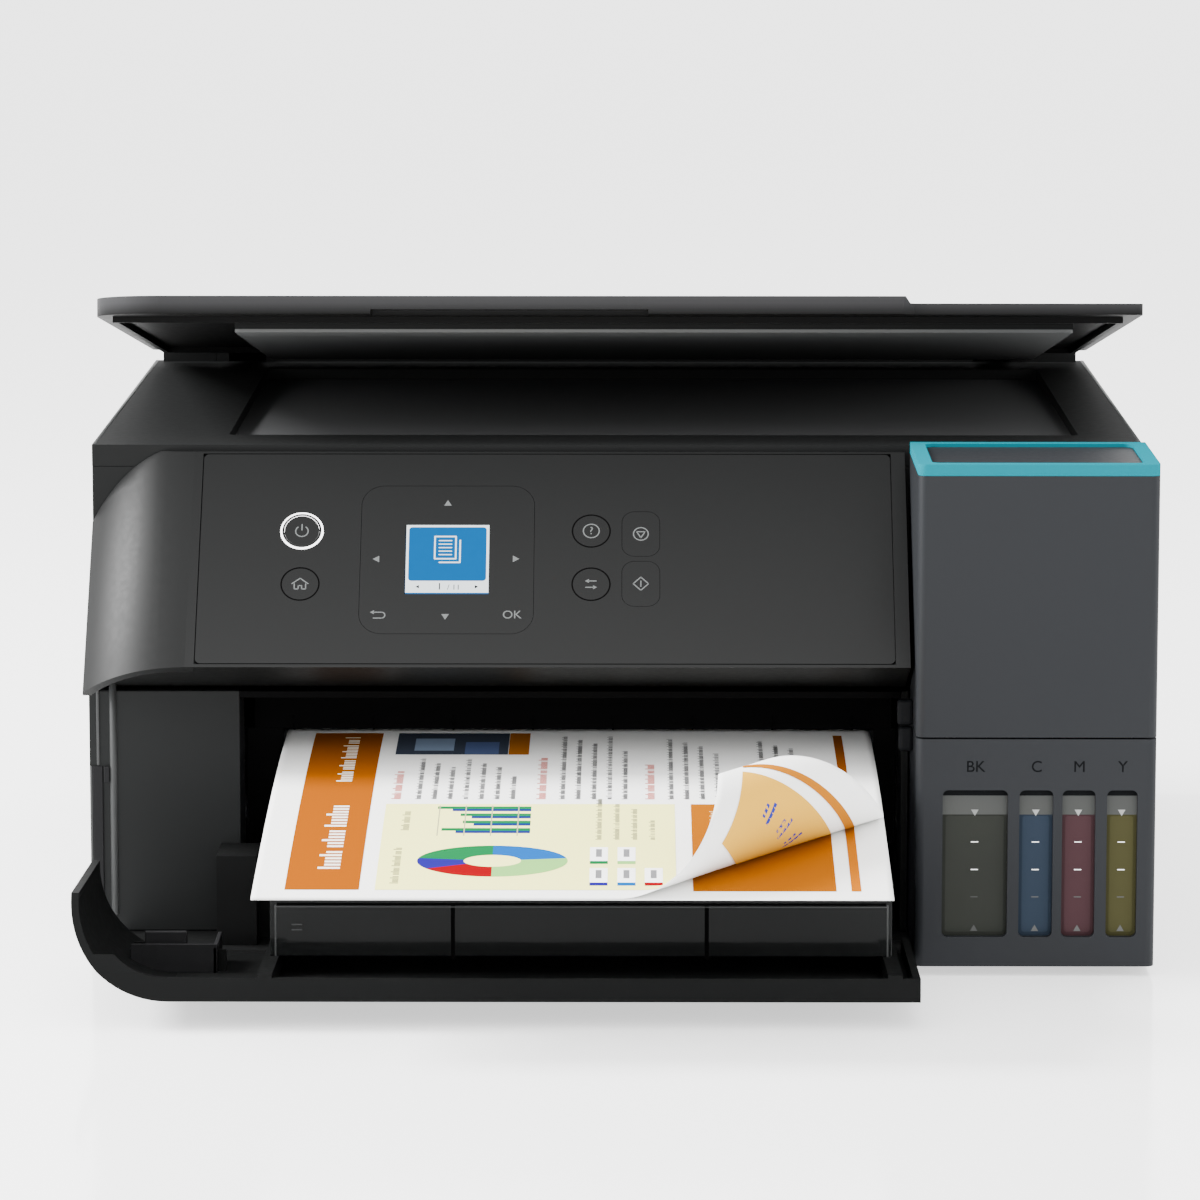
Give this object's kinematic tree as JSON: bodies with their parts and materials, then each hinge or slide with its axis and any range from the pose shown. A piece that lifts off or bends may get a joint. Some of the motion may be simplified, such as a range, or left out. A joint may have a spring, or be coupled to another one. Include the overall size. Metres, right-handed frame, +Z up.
{
  "type": "ink tank multifunction inkjet printer",
  "caption": "Desktop inkjet printer with a flatbed scanner under a hinged lid, a slanted key panel with a small screen, a front paper cassette and a refillable ink tank at its right",
  "frame": {"origin": "centre of the footprint's bounding box, on the table under the rubber feet", "axes": "X to the right as seen from the front, Y from the front to the rear, Z up"},
  "size_m": [0.375, 0.457, 0.2309],
  "materials": {
    "case_black": "fine moulded texture, satin",
    "scanner_black": "fine moulded texture, satin",
    "lid_charcoal": "fine moulded texture, satin",
    "panel_grey": "smooth satin",
    "fascia_grey": "smooth satin",
    "key_black": "smooth, with pale printed signs",
    "nav_black": "polished",
    "ring_white": "lit white ring",
    "lcd_blue": "lit screen",
    "smoky_clear": "smoky clear plastic, polished",
    "sheet": "printed sheet, matte",
    "mat_white": "soft white pressing mat",
    "bed_glass": "clear float glass",
    "hinge_dark": "satin",
    "tank_slate": "fine moulded texture, satin",
    "tank_clear": "milky clear plastic",
    "trim_teal": "smooth satin",
    "ink_black": "liquid behind a tinted window",
    "ink_cyan": "liquid behind a tinted window",
    "ink_magenta": "liquid behind a tinted window",
    "ink_yellow": "liquid behind a tinted window",
    "tube_clear": "flexible tubing",
    "foot_rubber": "matte",
    "screw_steel": "blackened",
    "socket_black": "satin, with metal contacts",
    "socket_metal": "plated shell",
    "plate_steel": "plated sheet metal",
    "carriage_black": "satin",
    "head_grey": "satin",
    "belt_rubber": "moulded",
    "pulley_white": "acetal",
    "motor_steel": "plated can",
    "platen_black": "satin",
    "roller_shaft": "ground shaft with grit coat",
    "roller_rubber": "ground",
    "board_green": "solder mask",
    "supply_grey": "satin"
  },
  "bodies": {
    "base": {"base_case": "case_black", "case_left": "case_black", "case_header": "case_black", "case_right": "case_black", "case_rear": "case_black", "rubber_feet": "foot_rubber", "casing_screws": "screw_steel", "power_inlet": "socket_black", "data_socket": "socket_metal", "panel_housing": "panel_grey", "panel_fascia": "fascia_grey", "power_light_ring": "ring_white", "lcd_display": "lcd_blue", "printed_sheet": "sheet", "tank_housing": "tank_slate", "ink_tanks": "tank_clear", "inks": "ink_black", "ink_tubes": "tube_clear", "chassis": "plate_steel", "drive_belts": "belt_rubber", "carriage_motor": "motor_steel", "platen": "platen_black", "feed_motor": "motor_steel", "capping_station": "carriage_black", "main_board": "board_green", "power_supply": "supply_grey"},
    "rear_cover": {"rear_cover": "case_black"},
    "front_cover": {"front_cover": "case_black"},
    "output_tray": {"output_tray": "smoky_clear"},
    "cassette": {"paper_cassette": "case_black"},
    "edge_guide_left": {"edge_guide_left": "carriage_black"},
    "edge_guide_right": {"edge_guide_right": "carriage_black"},
    "scanner": {"scanner_pan": "scanner_black", "scanner_frame": "scanner_black", "scanner_glass": "bed_glass"},
    "scan_bar": {"scan_bar": "head_grey"},
    "lid": {"scanner_lid": "lid_charcoal", "lid_mat": "mat_white", "lid_hinges": "hinge_dark"},
    "tank_cover": {"tank_cover": "tank_slate", "tank_cover_trim": "trim_teal"},
    "carriage": {"carriage": "carriage_black", "print_head": "head_grey"},
    "power_button": {"power_button": "key_black"},
    "home_button": {"home_button": "key_black"},
    "help_button": {"help_button": "key_black"},
    "settings_button": {"settings_button": "key_black"},
    "stop_button": {"stop_button": "key_black"},
    "start_button": {"start_button": "key_black"},
    "nav_pad": {"nav_pad": "nav_black"},
    "ink_cap_black": {"ink_cap_black": "key_black"},
    "ink_cap_cyan": {"ink_cap_cyan": "ink_cyan"},
    "ink_cap_magenta": {"ink_cap_magenta": "ink_magenta"},
    "ink_cap_yellow": {"ink_cap_yellow": "ink_yellow"},
    "drive_pulley": {"drive_pulley": "pulley_white"},
    "idler_pulley": {"idler_pulley": "pulley_white"},
    "feed_roller": {"feed_roller": "roller_shaft"},
    "eject_roller": {"eject_roller": "roller_rubber"},
    "motor_pulley": {"motor_pulley": "pulley_white"},
    "pickup_roller": {"pickup_roller": "roller_rubber"}
  },
  "joints": [
    {"name": "scanner_lift", "type": "hinge", "parent": "base", "child": "scanner", "pos_m": [0, 0.2195, 0.1402], "axis": [-1, 0, 0], "range_deg": [0, 35]},
    {"name": "lid_hinge", "type": "hinge", "parent": "scanner", "child": "lid", "pos_m": [0, 0.2235, 0.1816], "axis": [-1, 0, 0], "range_deg": [-9, 76]},
    {"name": "tank_cover_hinge", "type": "hinge", "parent": "base", "child": "tank_cover", "pos_m": [0.14575, -0.061, 0.17], "axis": [-1, 0, 0], "range_deg": [0, 75]},
    {"name": "front_cover_hinge", "type": "hinge", "parent": "base", "child": "front_cover", "pos_m": [0, -0.1085, 0.0066], "axis": [1, 0, 0], "range_deg": [-87, 0], "deforming": ["printed_sheet"]},
    {"name": "output_tray_slide", "type": "slide", "parent": "front_cover", "child": "output_tray", "axis": [0, -0.9986, 0.0523], "range_m": [0, 0.035]},
    {"name": "cassette_slide", "type": "slide", "parent": "base", "child": "cassette", "axis": [0, -1, 0], "range_m": [0, 0.08]},
    {"name": "edge_guide_left_slide", "type": "slide", "parent": "cassette", "child": "edge_guide_left", "axis": [1, 0, 0], "range_m": [0, 0.035]},
    {"name": "edge_guide_right_slide", "type": "slide", "parent": "cassette", "child": "edge_guide_right", "axis": [-1, 0, 0], "range_m": [0, 0.035]},
    {"name": "ink_cap_black_lift", "type": "slide", "parent": "base", "child": "ink_cap_black", "axis": [0, 0, 1], "range_m": [0, 0.06]},
    {"name": "ink_cap_cyan_lift", "type": "slide", "parent": "base", "child": "ink_cap_cyan", "axis": [0, 0, 1], "range_m": [0, 0.06]},
    {"name": "ink_cap_magenta_lift", "type": "slide", "parent": "base", "child": "ink_cap_magenta", "axis": [0, 0, 1], "range_m": [0, 0.06]},
    {"name": "ink_cap_yellow_lift", "type": "slide", "parent": "base", "child": "ink_cap_yellow", "axis": [0, 0, 1], "range_m": [0, 0.06]},
    {"name": "power_button_press", "type": "slide", "parent": "base", "child": "power_button", "axis": [0, 0.766, -0.6428], "range_m": [0, 0.0006], "stiffness_N_per_m": 800},
    {"name": "home_button_press", "type": "slide", "parent": "base", "child": "home_button", "axis": [0, 0.766, -0.6428], "range_m": [0, 0.0006], "stiffness_N_per_m": 800},
    {"name": "help_button_press", "type": "slide", "parent": "base", "child": "help_button", "axis": [0, 0.766, -0.6428], "range_m": [0, 0.0006], "stiffness_N_per_m": 800},
    {"name": "settings_button_press", "type": "slide", "parent": "base", "child": "settings_button", "axis": [0, 0.766, -0.6428], "range_m": [0, 0.0006], "stiffness_N_per_m": 800},
    {"name": "stop_button_press", "type": "slide", "parent": "base", "child": "stop_button", "axis": [0, 0.766, -0.6428], "range_m": [0, 0.0006], "stiffness_N_per_m": 800},
    {"name": "start_button_press", "type": "slide", "parent": "base", "child": "start_button", "axis": [0, 0.766, -0.6428], "range_m": [0, 0.0006], "stiffness_N_per_m": 800},
    {"name": "nav_pad_press", "type": "slide", "parent": "base", "child": "nav_pad", "axis": [0, 0.766, -0.6428], "range_m": [0, 0.0005], "stiffness_N_per_m": 800},
    {"name": "carriage_slide", "type": "slide", "parent": "base", "child": "carriage", "axis": [-1, 0, 0], "range_m": [0, 0.24], "deforming": ["ink_tubes"]},
    {"name": "drive_pulley_spin", "type": "hinge", "parent": "base", "child": "drive_pulley", "pos_m": [0.166, 0.124, 0.112], "axis": [0, -1, 0], "range_deg": [0, 2084]},
    {"name": "idler_pulley_spin", "type": "hinge", "parent": "base", "child": "idler_pulley", "pos_m": [-0.136, 0.124, 0.112], "axis": [0, -1, 0], "range_deg": [0, 2084]},
    {"name": "feed_roller_spin", "type": "hinge", "parent": "base", "child": "feed_roller", "pos_m": [0, 0.0875, 0.0646], "axis": [1, 0, 0], "continuous": true},
    {"name": "eject_roller_spin", "type": "hinge", "parent": "base", "child": "eject_roller", "pos_m": [0, -0.0245, 0.0656], "axis": [1, 0, 0], "continuous": true},
    {"name": "motor_pulley_spin", "type": "hinge", "parent": "base", "child": "motor_pulley", "pos_m": [0, 0.0315, 0.03], "axis": [1, 0, 0], "continuous": true},
    {"name": "pickup_roller_spin", "type": "hinge", "parent": "base", "child": "pickup_roller", "pos_m": [0, 0.1815, 0.0465], "axis": [1, 0, 0], "continuous": true},
    {"name": "scan_bar_slide", "type": "slide", "parent": "scanner", "child": "scan_bar", "axis": [1, 0, 0], "range_m": [0, 0.31]},
    {"name": "rear_cover_pull", "type": "slide", "parent": "base", "child": "rear_cover", "axis": [0, 1, 0], "range_m": [0, 0.05]}
  ],
  "couplings": [
    {"joint": "edge_guide_right_slide", "follows": "edge_guide_left_slide", "ratio": 1},
    {"joint": "drive_pulley_spin", "follows": "carriage_slide", "rad_per_m": 151.51},
    {"joint": "idler_pulley_spin", "follows": "carriage_slide", "rad_per_m": 151.51},
    {"joint": "eject_roller_spin", "follows": "feed_roller_spin", "ratio": 1},
    {"joint": "motor_pulley_spin", "follows": "feed_roller_spin", "ratio": 1}
  ]
}
